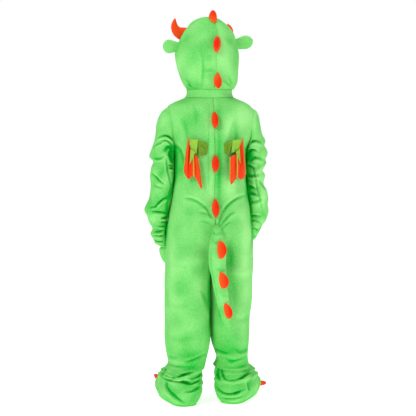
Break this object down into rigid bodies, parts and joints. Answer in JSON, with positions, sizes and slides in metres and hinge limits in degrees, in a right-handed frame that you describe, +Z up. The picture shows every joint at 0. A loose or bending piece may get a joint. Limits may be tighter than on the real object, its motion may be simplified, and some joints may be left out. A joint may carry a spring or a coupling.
{
  "type": "dragon costume",
  "caption": "Child's hooded one-piece dragon costume of plush cloth with stuffed horns, ears, spikes and tail, small wings, mitts and foot covers, in its worn, hollow form.",
  "frame": {"origin": "the point where the garment hangs on its wearer: on the body's vertical middle line, level with the neckline seam, 973 mm above the underside of the soles", "axes": "+Z up, +Y the way the chest faces, +X the wearer's right"},
  "size_m": [0.4164, 0.3405, 1.2395],
  "materials": {
    "plush": "short-pile plush with a soft sheen",
    "trim_orange": "smooth stuffed velvet",
    "wing_orange": "satin",
    "wing_olive": "shimmering foil cloth",
    "wing_lime": "satin"
  },
  "bodies": {
    "root": {"back_left": "plush", "back_right": "plush", "front_left": "plush", "front_right": "plush", "sleeve_left": "plush", "sleeve_right": "plush", "mitt_left": "plush", "mitt_right": "plush", "neck_band": "plush", "hood_left": "plush", "hood_right": "plush", "spike_back_upper": "trim_orange", "spike_back_middle": "trim_orange", "spike_back_lower": "trim_orange", "tail": "plush", "spike_tail_upper": "trim_orange", "spike_tail_middle": "trim_orange", "spike_tail_lower": "trim_orange", "spike_hood_top": "trim_orange", "spike_hood_back": "trim_orange", "spike_hood_nape": "trim_orange", "horn_left": "trim_orange", "horn_right": "trim_orange", "ear_left": "plush", "ear_right": "plush", "bootie_left": "plush", "bootie_right": "plush", "sole_left": "plush", "sole_right": "plush", "claw_left_inner": "trim_orange", "claw_left_middle": "trim_orange", "claw_left_outer": "trim_orange", "claw_right_inner": "trim_orange", "claw_right_middle": "trim_orange", "claw_right_outer": "trim_orange", "front_placket": "plush", "wing_membrane_left": "wing_orange", "wing_root_left": "wing_olive", "wing_arm_left": "wing_lime", "wing_membrane_right": "wing_orange", "wing_root_right": "wing_olive", "wing_arm_right": "wing_lime"}
  },
  "joints": []
}
